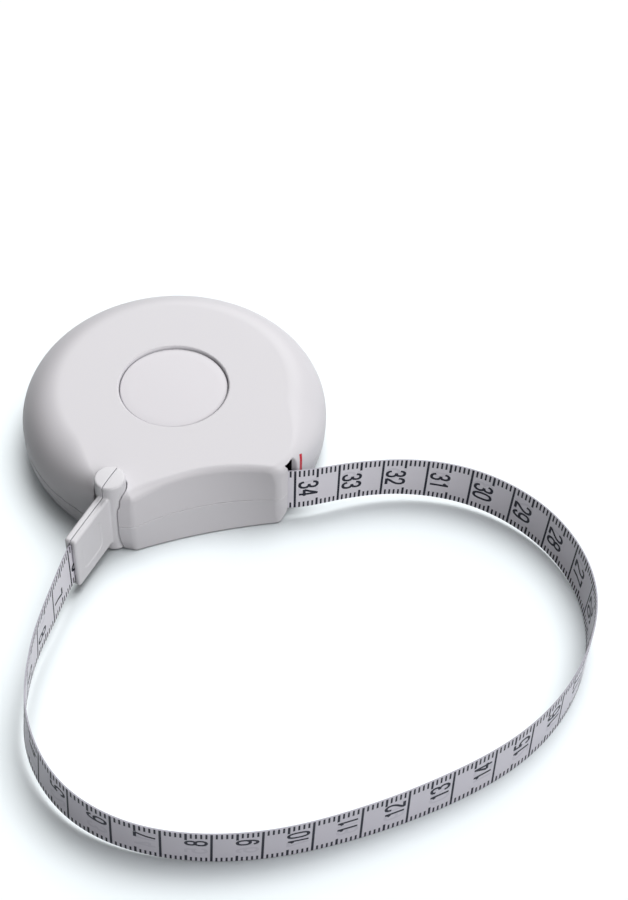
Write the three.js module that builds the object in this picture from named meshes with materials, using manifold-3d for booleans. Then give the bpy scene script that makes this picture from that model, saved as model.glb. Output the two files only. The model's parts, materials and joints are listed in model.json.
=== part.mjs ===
// Round push-button circumference tape: a flat disc case with a concave front,
// a sprung reel, a T-shaped handle peg that locks in a socket at one front
// corner, and a printed tape that leaves by a slot at the other front corner.
// Millimetres, +Z up. Origin on the underside of the case, on the reel axis.
// The concave front faces -Y, the peg socket is at -X, the tape exit at +X.
import * as THREE from 'three';
import { mergeVertices } from 'three/addons/utils/BufferGeometryUtils.js';
import Module from 'manifold-3d';

const wasm = await Module();
wasm.setup();

// ---------- driving dimensions ----------
const CASE_R = 35.0;          // round outline
const CASE_R_LEFT = 35.75;    // outline at the post beside the peg socket
const CASE_R_RIGHT = 35.2;    // outline at the nose beside the exit slot
const CASE_H = 18.4;          // overall thickness of the case
const SEAM_Z = 8.2;           // parting line between the two shells
const SEAM_GAP = 0.12;        // shadow gap at the parting line
const WALL = 1.7;
const SHOULDER_A = 9.3;       // shoulder width on plan, round side
const SHOULDER_B = 9.2;       // shoulder height, round side
const SHOULDER_A_FRONT = 2.1; // shoulder at the front corners
const SHOULDER_B_FRONT = 2.3;
const UNDER_A = 3.7;          // rounding under the round side
const UNDER_B = 8.0;
const UNDER_A_FRONT = 0.5;
const UNDER_B_FRONT = 0.8;
const FACE_X = 16.4;          // concave front: half width, and at three heights
const FACE_Z = [0, 9, 17.2];  // the line of its corners and the depth of its bow
const FACE_Y = [-30.56, -30.7, -30.7];
const FACE_SAG = [0.95, 2.55, 3.7];
const POST_SLOPE = 0.28;      // the flat between the bow and the peg socket

const PEG = [-19.7, -25.95];  // axis of the socket and of the handle peg
const PEG_R = 3.45;
const PEG_H = 21.3;
const SOCKET_R = 3.75;
const MOUTH_DIR = THREE.MathUtils.degToRad(-132.5);
const MOUTH_O = [-2.4, 2.15]; // left and right side of the socket's opening, from the paddle's line
const PADDLE_DIR = THREE.MathUtils.degToRad(-131.6);
const PADDLE_LEN = 17.0;      // peg axis to the end edge
const PADDLE_T = 2.8;
const PADDLE_Z = [3.0, 18.0];
const HALF_GAP = 0.1;         // half of the split between the handle halves

const SLOT_DIR = THREE.MathUtils.degToRad(-22);  // outward direction of the exit slot
const SLOT_MID = [19.0, -28.45];                 // point on the slot's middle plane
const SLOT_O = [-0.74, 1.9];  // front and rear side of the slot, from the tape's middle plane
const SLOT_Z = [1.9, 17.6];
const SLOT_RIM_R = 33.95;     // the slot goes through the wall, to the pocket behind it

const TAPE_W = 12.5;
const TAPE_T = 0.3;
const TAPE_Z = 3.2;           // lower edge of the tape inside the case
const DRUM_R = 15.0;          // core that the tape is wound on
const COIL_R = 18.85;         // outside of the wound tape
const FLANGE_R = 21.5;

const BUTTON_R = 12.3;
const BUTTON_TOP = 17.8;
const BUTTON_HOLE_R = 12.65;

// ---------- materials ----------
const mat = (color, roughness, metalness = 0) => new THREE.MeshStandardMaterial({ color, roughness, metalness });
const CASE_PLASTIC = mat(0xdedbe0, 0.55);
const CASE_PLASTIC_LOW = mat(0xd6d5da, 0.58);
const BUTTON_PLASTIC = mat(0xe0dde1, 0.5);
const HANDLE_PLASTIC = mat(0xe2e1e4, 0.5);
const TAPE_MAT = mat(0xcfcedd, 0.35);
const INNER_PLASTIC = mat(0xb9bcc2, 0.6);
const STEEL = mat(0xa9abb0, 0.3, 0.9);
const SPRING_STEEL = mat(0x6f7786, 0.35, 0.9);
const RUBBER = mat(0x2c2c2e, 0.9);

// ---------- solids ----------
function solidFromArrays(v, t) {
  let vol = 0;
  for (let i = 0; i < t.length; i += 3) {
    const a = t[i] * 3, b = t[i + 1] * 3, c = t[i + 2] * 3;
    vol += v[a] * (v[b + 1] * v[c + 2] - v[b + 2] * v[c + 1])
         - v[a + 1] * (v[b] * v[c + 2] - v[b + 2] * v[c])
         + v[a + 2] * (v[b] * v[c + 1] - v[b + 1] * v[c]);
  }
  if (vol < 0) for (let i = 0; i < t.length; i += 3) [t[i + 1], t[i + 2]] = [t[i + 2], t[i + 1]];
  return new wasm.Manifold(new wasm.Mesh({
    numProp: 3, vertProperties: new Float32Array(v), triVerts: new Uint32Array(t) }));
}

function solid(geometry) {
  const g = geometry.index ? geometry.clone() : geometry;
  g.deleteAttribute('normal');
  g.deleteAttribute('uv');
  const m = mergeVertices(g, 1e-4);
  const t = Array.from(m.index.array);
  const keep = [];
  for (let i = 0; i < t.length; i += 3) {
    if (t[i] !== t[i + 1] && t[i + 1] !== t[i + 2] && t[i] !== t[i + 2]) keep.push(t[i], t[i + 1], t[i + 2]);
  }
  return solidFromArrays(Array.from(m.attributes.position.array), keep);
}

// profile: [r, z] pairs, from axis to axis or a closed ring (first point repeated)
function turned(profile, segments = 48, centre = [0, 0]) {
  const g = new THREE.LatheGeometry(profile.map(([r, z]) => new THREE.Vector2(r, z)), segments);
  g.rotateX(Math.PI / 2);
  g.translate(centre[0], centre[1], 0);
  return solid(g);
}

function ring(r0, r1, z0, z1, segments = 48) {
  return turned([[r0, z0], [r1, z0], [r1, z1], [r0, z1], [r0, z0]], segments);
}

function disc(r, z0, z1, segments = 48, centre = [0, 0]) {
  return turned([[0, z0], [r, z0], [r, z1], [0, z1]], segments, centre);
}

function prism(points, z0, z1) {
  const g = new THREE.ExtrudeGeometry(new THREE.Shape(points.map(([x, y]) => new THREE.Vector2(x, y))),
    { depth: z1 - z0, bevelEnabled: false });
  g.translate(0, 0, z0);
  return solid(g);
}

function slab(x0, y0, z0, x1, y1, z1) {
  const g = new THREE.BoxGeometry(x1 - x0, y1 - y0, z1 - z0);
  g.translate((x0 + x1) / 2, (y0 + y1) / 2, (z0 + z1) / 2);
  return solid(g);
}

function meshOf(name, man, material) {
  const m = man.getMesh();
  const g = new THREE.BufferGeometry();
  const p = new Float32Array(m.numVert * 3);
  for (let i = 0; i < m.numVert; i++) {
    for (let k = 0; k < 3; k++) p[i * 3 + k] = m.vertProperties[i * m.numProp + k];
  }
  g.setAttribute('position', new THREE.BufferAttribute(p, 3));
  g.setIndex(Array.from(m.triVerts));
  g.computeVertexNormals();
  const mesh = new THREE.Mesh(g, material);
  mesh.name = name;
  return mesh;
}

const smooth = (x) => { const t = Math.min(1, Math.max(0, x)); return t * t * (3 - 2 * t); };
const mix = (a, b, s) => a + (b - a) * s;

// ---------- case envelope ----------
// For each direction the side profile is an elliptical shoulder above and a
// shallower one below; both tighten towards the two front corner posts.
function envelope(inset) {
  const angles = [];
  const fine = inset === 0;
  for (let a = -90; a < 270;) {
    angles.push(a);
    const psi = Math.abs(((a + 90 + 180) % 360) - 180);
    a += fine ? (psi >= 24 && psi < 72 ? 3 : 6) : 12;
  }
  const NU = fine ? 5 : 2, NT = fine ? 8 : 3;
  const v = [], t = [];
  const rows = NU + NT + 2;
  for (const a of angles) {
    const psi = Math.abs(((a + 90 + 180) % 360) - 180);
    const s = smooth((psi - 32) / 38), u = smooth((psi - 28.5) / 10);
    const R = mix(a < -90 || a > 90 ? CASE_R_LEFT : CASE_R_RIGHT, CASE_R, smooth((psi - 40) / 14)) - inset;
    const sa = Math.max(0.6, mix(SHOULDER_A_FRONT, SHOULDER_A, s) - inset * 0.55);
    const sb = Math.max(0.6, mix(SHOULDER_B_FRONT, SHOULDER_B, s) - inset);
    const ua = Math.max(0.4, mix(UNDER_A_FRONT, UNDER_A, u) - inset * 0.4);
    const ub = Math.max(0.4, mix(UNDER_B_FRONT, UNDER_B, u) - inset);
    const z0 = inset, z1 = CASE_H - inset;
    const c = Math.cos(a * Math.PI / 180), d = Math.sin(a * Math.PI / 180);
    for (let i = 0; i <= NU; i++) {
      const q = (i / NU) * Math.PI / 2;
      const r = R - ua + ua * Math.sin(q);
      v.push(r * c, r * d, z0 + ub - ub * Math.cos(q));
    }
    for (let i = 0; i <= NT; i++) {
      const q = (i / NT) * Math.PI / 2;
      const r = R - sa + sa * Math.cos(q);
      v.push(r * c, r * d, z1 - sb + sb * Math.sin(q));
    }
  }
  const n = angles.length;
  for (let k = 0; k < n; k++) {
    const a = k * rows, b = ((k + 1) % n) * rows;
    for (let i = 0; i < rows - 1; i++) t.push(a + i, b + i, b + i + 1, a + i, b + i + 1, a + i + 1);
  }
  const lo = v.length / 3; v.push(0, 0, inset);
  const hi = lo + 1; v.push(0, 0, CASE_H - inset);
  for (let k = 0; k < n; k++) {
    const a = k * rows, b = ((k + 1) % n) * rows;
    t.push(lo, b, a, hi, a + rows - 1, b + rows - 1);
  }
  return solidFromArrays(v, t);
}

// material removed in front of the concave front, deeper towards the top
function frontCutter(back) {
  const n = 16, v = [], t = [];
  const level = (z, x, y, sag) => {
    const pts = [[-27, -46], [-27, y + (27 - x) * POST_SLOPE]];
    for (let i = 0; i <= n; i++) {
      const u = -1 + (2 * i) / n;
      pts.push([u * x, y + sag * (1 - u * u)]);
    }
    pts.push([27, y - 3], [27, -46]);
    for (const p of pts) v.push(p[0], p[1] + back, z);
    return pts.length;
  };
  const m = level(-2, FACE_X, FACE_Y[0], FACE_SAG[0]);
  FACE_Z.forEach((z, i) => level(z, FACE_X, FACE_Y[i], FACE_SAG[i]));
  const [y1, sag1] = [FACE_Y[2], FACE_SAG[2]];
  level(18.0, FACE_X, y1 + 0.4, sag1 + 0.05);
  level(18.7, FACE_X, y1 + 1.5, sag1 + 0.1);
  level(20.5, FACE_X, y1 + 3.0, sag1 + 0.1);
  const L = 7;
  for (let l = 0; l < L - 1; l++) {
    for (let i = 0; i < m; i++) {
      const j = (i + 1) % m, a = l * m + i, b = l * m + j;
      t.push(a, b, b + m, a, b + m, a + m);
    }
  }
  for (const [l, way] of [[0, 1], [L - 1, -1]]) {
    const o = l * m;
    const shape = [];
    for (let i = 0; i < m; i++) shape.push(new THREE.Vector2(v[(o + i) * 3], v[(o + i) * 3 + 1]));
    for (const [a, b, c] of THREE.ShapeUtils.triangulateShape(shape, [])) {
      const area = (shape[b].x - shape[a].x) * (shape[c].y - shape[a].y) - (shape[c].x - shape[a].x) * (shape[b].y - shape[a].y);
      if (area * way > 0) t.push(o + a, o + b, o + c); else t.push(o + a, o + c, o + b);
    }
  }
  return solidFromArrays(v, t);
}

// ---------- exit slot ----------
const sd = [Math.cos(SLOT_DIR), Math.sin(SLOT_DIR)];
const sn = [-sd[1], sd[0]];
const slotPoint = (d, o) => [SLOT_MID[0] + sd[0] * d + sn[0] * o, SLOT_MID[1] + sd[1] * d + sn[1] * o];
function slotCutter() {
  const [f, r] = SLOT_O;
  const through = prism([slotPoint(-15.5, f), slotPoint(9, f), slotPoint(9, r), slotPoint(-15.5, r)], SLOT_Z[0], SLOT_Z[1]);
  const pocket = prism([slotPoint(-13, f), slotPoint(9, f), slotPoint(9, 5.5), slotPoint(-13, 5.5)], SLOT_Z[0], SLOT_Z[1] - 0.9)
    .intersect(disc(SLOT_RIM_R, 0, 20, 72));
  return through.add(pocket);
}

// ---------- shells ----------
const outer = envelope(0);
const mouth = [Math.cos(MOUTH_DIR), Math.sin(MOUTH_DIR)];
const mouthPoint = (d, o) => [PEG[0] + mouth[0] * d - mouth[1] * o, PEG[1] + mouth[1] * d + mouth[0] * o];
const socketCut = disc(SOCKET_R, -2, 30, 40, PEG)
  .add(prism([mouthPoint(0, MOUTH_O[0]), mouthPoint(14, MOUTH_O[0]), mouthPoint(14, MOUTH_O[1]), mouthPoint(0, MOUTH_O[1])], -2, 30));
const socketBoss = disc(SOCKET_R + 1.55, -2, 30, 40, PEG);
const innerSlotWalls = prism([slotPoint(-11.5, SLOT_O[0] - 1.6), slotPoint(6, SLOT_O[0] - 1.6),
  slotPoint(6, SLOT_O[0]), slotPoint(-11.5, SLOT_O[0])], -1, 30);
const reelRoom = disc(22.4, WALL, CASE_H - WALL, 36);
let cavity = envelope(WALL)
  .intersect(slab(-40, -24.9, -1, 40, 40, 30))
  .subtract(socketBoss)
  .subtract(innerSlotWalls)
  .add(reelRoom)
  .subtract(socketBoss);
let body = outer
  .subtract(frontCutter(0))
  .subtract(cavity)
  .subtract(socketCut)
  .subtract(slotCutter());

// button well: hole with a soft rim
const well = turned([[0, CASE_H - 4], [BUTTON_HOLE_R, CASE_H - 4], [BUTTON_HOLE_R, CASE_H - 0.75],
  [BUTTON_HOLE_R + 0.18, CASE_H - 0.32], [BUTTON_HOLE_R + 0.6, CASE_H - 0.05], [BUTTON_HOLE_R + 1.0, CASE_H + 0.02],
  [BUTTON_HOLE_R + 1.0, CASE_H + 3], [0, CASE_H + 3]], 48);

const above = slab(-60, -60, SEAM_Z + SEAM_GAP, 60, 60, 60);
const below = slab(-60, -60, -10, 60, 60, SEAM_Z);
const upper = body.intersect(above).subtract(well);
// locating boss for the centre post
const bossRing = ring(3.1, 4.6, WALL - 0.3, WALL + 0.35, 24);
const lower = body.intersect(below).add(bossRing);

// ---------- button with three hooked brake legs ----------
let button = turned([[0, 16.2], [11.2, 16.2], [11.2, 15.8], [13.2, 15.8], [13.2, 16.4], [BUTTON_R, 16.4],
  [BUTTON_R, BUTTON_TOP - 0.5], [BUTTON_R - 0.15, BUTTON_TOP - 0.18], [BUTTON_R - 0.5, BUTTON_TOP],
  [0, BUTTON_TOP + 0.12]], 48);
button = button.add(ring(4.9, 5.7, 14.9, 16.3, 24));
const legs = [];
function sector(r0, r1, a0, a1, z0, z1, n = 3) {
  const pts = [];
  for (let i = 0; i <= n; i++) { const a = THREE.MathUtils.degToRad(a0 + (a1 - a0) * i / n); pts.push([r1 * Math.cos(a), r1 * Math.sin(a)]); }
  for (let i = n; i >= 0; i--) { const a = THREE.MathUtils.degToRad(a0 + (a1 - a0) * i / n); pts.push([r0 * Math.cos(a), r0 * Math.sin(a)]); }
  return prism(pts, z0, z1);
}
for (let k = 0; k < 3; k++) {
  const a = 90 + k * 120;
  button = button.add(sector(10.0, 11.1, a - 16, a + 16, 11.9, 16.3));
  button = button.add(sector(10.0, 12.9, a - 16, a + 16, 11.9, 12.5));
  legs.push(sector(11.6, 12.9, a - 14, a + 14, 12.6, 13.0));
}

// ---------- reel ----------
let drum = turned([[2.75, 2.1], [FLANGE_R, 2.1], [FLANGE_R, 2.85], [DRUM_R, 2.85], [DRUM_R, 15.75],
  [13.8, 15.75], [13.8, 2.9], [2.75, 2.9], [2.75, 2.1]], 40);
// slot that holds the outer end of the power spring
const drumPocket = slab(12.9, -0.5, 3.1, 13.85, 0.5, 9.0);
const upperFlange = ring(14.1, FLANGE_R, 15.9, 16.35, 40);
const brakeRing = ring(11.7, 13.6, 13.15, 13.95, 32);
const springCover = ring(2.85, 13.5, 9.3, 10.0, 32);
const coil = ring(DRUM_R + 0.2, COIL_R, TAPE_Z, TAPE_Z + TAPE_W, 44);

// ---------- centre post, springs ----------
const post = turned([[0, 1.95], [2.55, 1.95], [2.55, 10.15], [4.7, 10.15], [4.7, 10.9], [3.1, 10.9], [3.1, 12.4], [0, 12.4]], 24);

function ribbonSolid(stations, thick) {
  // stations: {x, y, z, lx, ly, lz, nx, ny}: lower-edge centre, vector to the upper edge, plan normal
  const v = [], t = [];
  const n = stations.length;
  for (const s of stations) {
    const h = thick / 2;
    v.push(s.x - s.nx * h, s.y - s.ny * h, s.z, s.x + s.nx * h, s.y + s.ny * h, s.z,
      s.x + s.lx + s.nx * h, s.y + s.ly + s.ny * h, s.z + s.lz, s.x + s.lx - s.nx * h, s.y + s.ly - s.ny * h, s.z + s.lz);
  }
  for (let i = 0; i < n - 1; i++) {
    for (let k = 0; k < 4; k++) {
      const a = i * 4 + k, b = i * 4 + (k + 1) % 4;
      t.push(a, b, b + 4, a, b + 4, a + 4);
    }
  }
  const e = (n - 1) * 4;
  t.push(0, 2, 1, 0, 3, 2, e, e + 1, e + 2, e, e + 2, e + 3);
  return solidFromArrays(v, t);
}

function planStations(points, z, width) {
  return points.map((p, i) => {
    const a = points[Math.max(0, i - 1)], b = points[Math.min(points.length - 1, i + 1)];
    const dx = b[0] - a[0], dy = b[1] - a[1], l = Math.hypot(dx, dy);
    return { x: p[0], y: p[1], z, lx: 0, ly: 0, lz: width, nx: -dy / l, ny: dx / l };
  });
}

const spiral = [];
const TURNS = 6;
for (let i = 0; i <= TURNS * 15; i++) {
  const u = i / (TURNS * 15), a = u * TURNS * 2 * Math.PI, r = mix(3.0, 13.2, u);
  spiral.push([r * Math.cos(a), r * Math.sin(a)]);
}
const powerSpring = ribbonSolid(planStations(spiral, 3.4, 5.4), 0.25);

function helix(r, z0, z1, turns, wire) {
  class Helix extends THREE.Curve {
    getPoint(u, target = new THREE.Vector3()) {
      const a = u * turns * 2 * Math.PI;
      return target.set(r * Math.cos(a), r * Math.sin(a), mix(z0, z1, u));
    }
  }
  const c = new THREE.Shape();
  for (let i = 0; i < 6; i++) {
    const a = (i / 6) * 2 * Math.PI;
    if (i) c.lineTo(wire * Math.cos(a), wire * Math.sin(a)); else c.moveTo(wire * Math.cos(a), wire * Math.sin(a));
  }
  c.closePath();
  return solid(new THREE.ExtrudeGeometry(c, { steps: Math.round(turns * 11), extrudePath: new Helix(), bevelEnabled: false }));
}
const returnSpring = helix(4.1, 11.35, 15.75, 4, 0.28);

// ---------- handle: peg and paddle in two halves ----------
const pd = [Math.cos(PADDLE_DIR), Math.sin(PADDLE_DIR)];
const pn = [-pd[1], pd[0]];
const hp = (d, o) => [PEG[0] + pd[0] * d + pn[0] * o, PEG[1] + pd[1] * d + pn[1] * o];
const pegSolid = turned([[0, 0.05], [PEG_R - 0.95, 0.05], [PEG_R - 0.4, 0.3], [PEG_R - 0.08, 0.7], [PEG_R, 1.1], [PEG_R, PEG_H - 0.75],
  [PEG_R - 0.12, PEG_H - 0.4], [PEG_R - 0.5, PEG_H - 0.15], [PEG_R - 1.4, PEG_H - 0.06], [0, PEG_H]], 32, PEG);
function paddleSolid() {
  // section through the thickness, with eased edges
  const h = PADDLE_T / 2, c = 0.6, z0 = PADDLE_Z[0], z1 = PADDLE_Z[1];
  const sec = [[-h + c, z0], [h - c, z0], [h - 0.15, z0 + 0.2], [h, z0 + c], [h, z1 - c], [h - 0.15, z1 - 0.2], [h - c, z1],
    [-h + c, z1], [-h + 0.15, z1 - 0.2], [-h, z1 - c], [-h, z0 + c], [-h + 0.15, z0 + 0.2]];
  const v = [], t = [];
  const st = [[0, 1], [PADDLE_LEN - 0.6, 1], [PADDLE_LEN - 0.15, 0.85], [PADDLE_LEN, 0.62]];
  for (const [d, k] of st) {
    for (const [o, z] of sec) {
      const p = hp(d, o * (k < 1 ? 0.55 + 0.45 * k : 1));
      const zm = (z0 + z1) / 2;
      v.push(p[0], p[1], zm + (z - zm) * (k < 1 ? 0.955 + 0.045 * k : 1));
    }
  }
  const m = sec.length;
  for (let l = 0; l < st.length - 1; l++) {
    for (let i = 0; i < m; i++) {
      const j = (i + 1) % m, a = l * m + i, b = l * m + j;
      t.push(a, b, b + m, a, b + m, a + m);
    }
  }
  for (let i = 1; i < m - 1; i++) { t.push(0, i + 1, i); const o = (st.length - 1) * m; t.push(o, o + i, o + i + 1); }
  return solidFromArrays(v, t);
}
const tapeInHandleZ = 4.25;
const pinBore = disc(0.88, 1.4, 19.4, 20, PEG);
const loopRoom = disc(1.75, tapeInHandleZ - 0.35, tapeInHandleZ + TAPE_W + 0.35, 24, PEG);
const tapeRoom = prism([hp(0, -1.15), hp(3.4, -1.0), hp(3.4, -0.42), hp(30, -0.42), hp(30, 0.42), hp(3.4, 0.42), hp(3.4, 1.0), hp(0, 1.15)],
  tapeInHandleZ - 0.35, tapeInHandleZ + TAPE_W + 0.35);
let handle = pegSolid.add(paddleSolid()).subtract(pinBore).subtract(loopRoom).subtract(tapeRoom);
// shallow rounded panel on each outer face of the paddle
function panel(side) {
  const g = new THREE.Shape();
  const x0 = 7.2, x1 = 14.6, z0 = 6.2, z1 = 14.8, r = 1.6;
  g.moveTo(x0 + r, z0); g.lineTo(x1 - r, z0); g.quadraticCurveTo(x1, z0, x1, z0 + r); g.lineTo(x1, z1 - r);
  g.quadraticCurveTo(x1, z1, x1 - r, z1); g.lineTo(x0 + r, z1); g.quadraticCurveTo(x0, z1, x0, z1 - r);
  g.lineTo(x0, z0 + r); g.quadraticCurveTo(x0, z0, x0 + r, z0);
  const e = new THREE.ExtrudeGeometry(g, { depth: 2, bevelEnabled: false, curveSegments: 4 });
  const p = e.attributes.position;
  for (let i = 0; i < p.count; i++) {
    const d = p.getX(i), z = p.getY(i), o = side * (PADDLE_T / 2 - 0.15 + p.getZ(i));
    const w = hp(d, o);
    p.setXYZ(i, w[0], w[1], z);
  }
  return solid(e);
}
handle = handle.subtract(panel(1)).subtract(panel(-1));
const sideA = prism([hp(-20, HALF_GAP), hp(40, HALF_GAP), hp(40, 20), hp(-20, 20)], -5, 40);
const sideB = prism([hp(-20, -20), hp(40, -20), hp(40, -HALF_GAP), hp(-20, -HALF_GAP)], -5, 40);
const handleRear = handle.intersect(sideB);
const handleFront = handle.intersect(sideA);
const anchorPin = disc(0.8, 1.7, 19.1, 20, PEG);

// ---------- tape ----------
// route of the free loop, camera side first: reading on the inner scale (mm),
// plan position of the middle line, lower-edge height, lean of the upper edge
const LOOP = [
  [60, -31.95, -39.75, 4.2, 0.0, 0.0],
  [70, -37.6, -48.05, 4.2, 0.4, -0.2],
  [80, -42.1, -57.1, 4.15, 0.9, -0.5],
  [90, -45.4, -66.7, 4.0, 1.15, -0.6],
  [100, -47.1, -76.4, 3.7, 1.2, -0.65],
  [120, -42.2, -95.3, 2.2, 0.5, -0.95],
  [140, -26.7, -107.6, 0.85, 0.05, -1.35],
  [160, -7.5, -112.5, 0.25, 0.05, -1.2],
  [180, 12.5, -112.6, 0.08, 0.05, -0.6],
  [200, 32.2, -109.5, 0.06, 0.0, -0.1],
  [220, 51.0, -102.9, 0.1, -0.05, 0.0],
  [240, 66.5, -90.4, 0.25, 0.1, -0.1],
  [260, 75.1, -72.6, 0.5, 0.7, -0.3],
  [280, 72.4, -53.3, 1.2, 0.8, -0.4],
  [300, 59.6, -38.6, 2.3, 0.4, -0.6],
  [320, 41.3, -31.4, 3.0, 0.15, -0.8],
  [330, 31.4, -30.0, 3.2, 0.1, -0.4],
  [340, 21.45, -29.42, 3.2, 0.0, 0.0],
];
const EXIT = slotPoint(1.0, 0);
const SPLIT = 150;   // printed reading where the two tape stretches meet

const centre = new THREE.CatmullRomCurve3([
  ...[16.2, 17.2].map((d) => new THREE.Vector3(...hp(d, 0), 4.25)),
  ...LOOP.map(([, x, y, z]) => new THREE.Vector3(x, y, z)),
  new THREE.Vector3(...EXIT, TAPE_Z), new THREE.Vector3(...slotPoint(-1.5, 0), TAPE_Z),
], false, 'centripetal');
function leanAt(x, y) {
  // lean is carried along the route by the nearest pair of stations
  let best = 1e9, out = [0, 0];
  for (let i = 0; i < LOOP.length - 1; i++) {
    const a = LOOP[i], b = LOOP[i + 1];
    const dx = b[1] - a[1], dy = b[2] - a[2], l2 = dx * dx + dy * dy;
    const u = Math.max(0, Math.min(1, ((x - a[1]) * dx + (y - a[2]) * dy) / l2));
    const d = Math.hypot(x - a[1] - dx * u, y - a[2] - dy * u);
    if (d < best) { best = d; const s = smooth(u); out = [mix(a[4], b[4], s), mix(a[5], b[5], s)]; }
  }
  return out;
}
const DENSE = 600;
const dense = centre.getPoints(DENSE);
const nearestIndex = (x, y) => { let k = 0, m = 1e9; dense.forEach((p, i) => { const d = Math.hypot(p.x - x, p.y - y); if (d < m) { m = d; k = i; } }); return k; };
const at = (s) => LOOP.find((l) => l[0] === s);
const iEnd = nearestIndex(...hp(16.9, 0));
const iSplit = (nearestIndex(at(140)[1], at(140)[2]) + nearestIndex(at(160)[1], at(160)[2])) >> 1;
const iExit = nearestIndex(...slotPoint(0.2, 0));
function stretch(i0, i1, step, lead = []) {
  const out = [...lead];
  const n = Math.max(2, Math.round((i1 - i0) / step));
  for (let k = 0; k <= n; k++) {
    const i = Math.round(i0 + ((i1 - i0) * k) / n);
    const p = dense[i], a = dense[Math.max(0, i - 1)], b = dense[Math.min(DENSE, i + 1)];
    const dx = b.x - a.x, dy = b.y - a.y, l = Math.hypot(dx, dy);
    const [lx, ly] = leanAt(p.x, p.y);
    const lz = Math.sqrt(Math.max(0, TAPE_W * TAPE_W - lx * lx - ly * ly));
    out.push({ x: p.x, y: p.y, z: p.z, lx, ly, lz, nx: -dy / l, ny: dx / l });
  }
  return out;
}
// the end of the tape passes round the pin in the peg
const round = [];
for (const [d, o] of [[2.9, -0.55], [1.9, -0.8], [0.9, -1.05], [0.1, -1.22], [-0.65, -1.03], [-1.15, -0.4], [-1.15, 0.4], [-0.65, 1.03],
  [0.1, 1.22], [0.9, 0.95], [1.9, 0.45], [2.9, 0.1], [3.8, 0], [8, 0], [12, 0], [15, 0]]) round.push(hp(d, o));
const roundStations = planStations([...round, hp(17, 0)], tapeInHandleZ, TAPE_W).slice(0, -1);
const tapeEnd = ribbonSolid(stretch(iEnd, iSplit, 7, roundStations), TAPE_T);
const tapeLoop = ribbonSolid(stretch(iSplit + 1, iExit, 7), TAPE_T);

// straight run from the wound tape to the exit slot
const lead = [];
for (const d of [-0.15, -3, -8, -14, -20, -24, -27.2]) lead.push(slotPoint(d, 0));
const tapeLead = ribbonSolid(planStations(lead, TAPE_Z, TAPE_W), TAPE_T);

// ---------- assembly ----------
const part = new THREE.Group();
part.name = 'circumference_tape';
part.add(
  meshOf('upper_shell', upper, CASE_PLASTIC),
  meshOf('lower_shell', lower, CASE_PLASTIC_LOW),
  meshOf('push_button', button, BUTTON_PLASTIC),
  meshOf('brake_pad_rear', legs[0], RUBBER),
  meshOf('brake_pad_left', legs[1], RUBBER),
  meshOf('brake_pad_right', legs[2], RUBBER),
  meshOf('button_return_spring', returnSpring, SPRING_STEEL),
  meshOf('centre_post', post, STEEL),
  meshOf('reel_drum', drum.subtract(drumPocket), INNER_PLASTIC),
  meshOf('reel_upper_flange', upperFlange, INNER_PLASTIC),
  meshOf('brake_ring', brakeRing, INNER_PLASTIC),
  meshOf('spring_cover', springCover, INNER_PLASTIC),
  meshOf('power_spring', powerSpring, SPRING_STEEL),
  meshOf('tape_coil', coil, TAPE_MAT),
  meshOf('tape_lead', tapeLead, TAPE_MAT),
  meshOf('tape_loop', tapeLoop, TAPE_MAT),
  meshOf('tape_end', tapeEnd, TAPE_MAT),
  meshOf('handle_front_half', handleFront, HANDLE_PLASTIC),
  meshOf('handle_rear_half', handleRear, HANDLE_PLASTIC),
  meshOf('anchor_pin', anchorPin, STEEL),
);

export default part;
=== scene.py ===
import json
import math

import bmesh
import bpy
import numpy as np
from mathutils import Matrix, Vector
from mathutils.geometry import delaunay_2d_cdt

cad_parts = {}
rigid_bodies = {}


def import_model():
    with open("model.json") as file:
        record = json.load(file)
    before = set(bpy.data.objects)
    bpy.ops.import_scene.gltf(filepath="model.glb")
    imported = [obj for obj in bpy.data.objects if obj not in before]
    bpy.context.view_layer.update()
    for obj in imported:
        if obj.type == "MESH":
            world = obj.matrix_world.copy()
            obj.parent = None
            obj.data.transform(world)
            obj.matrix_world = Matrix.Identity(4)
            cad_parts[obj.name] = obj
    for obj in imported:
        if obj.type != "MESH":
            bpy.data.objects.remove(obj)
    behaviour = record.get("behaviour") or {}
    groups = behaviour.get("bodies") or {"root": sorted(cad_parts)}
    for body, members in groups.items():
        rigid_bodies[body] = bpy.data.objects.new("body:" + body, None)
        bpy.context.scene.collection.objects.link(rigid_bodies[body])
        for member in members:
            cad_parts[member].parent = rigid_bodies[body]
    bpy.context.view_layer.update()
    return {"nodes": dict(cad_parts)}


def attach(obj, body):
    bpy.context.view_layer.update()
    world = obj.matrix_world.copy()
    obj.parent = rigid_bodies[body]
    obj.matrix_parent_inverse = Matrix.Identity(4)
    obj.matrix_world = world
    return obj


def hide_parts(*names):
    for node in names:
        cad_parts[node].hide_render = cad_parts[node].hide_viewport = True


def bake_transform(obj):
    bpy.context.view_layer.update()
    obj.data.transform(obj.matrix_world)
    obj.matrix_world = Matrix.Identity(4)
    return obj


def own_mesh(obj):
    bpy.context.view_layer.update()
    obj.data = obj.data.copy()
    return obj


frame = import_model()

MM = 0.001
scene = bpy.context.scene
coll = scene.collection


# ---------------------------------------------------------------- small maths
def smooth(x):
    t = np.clip(x, 0.0, 1.0)
    return t * t * (3 - 2 * t)


def mix(a, b, s):
    return a + (b - a) * s


def smax(a, b, r):
    """Larger of two distances, with a round edge of radius r where they meet."""
    u = np.maximum(a + r, 0)
    v = np.maximum(b + r, 0)
    return np.minimum(np.maximum(a, b), -r) + np.sqrt(u * u + v * v)


def smin(a, b, r):
    return -smax(-a, -b, r)


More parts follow.
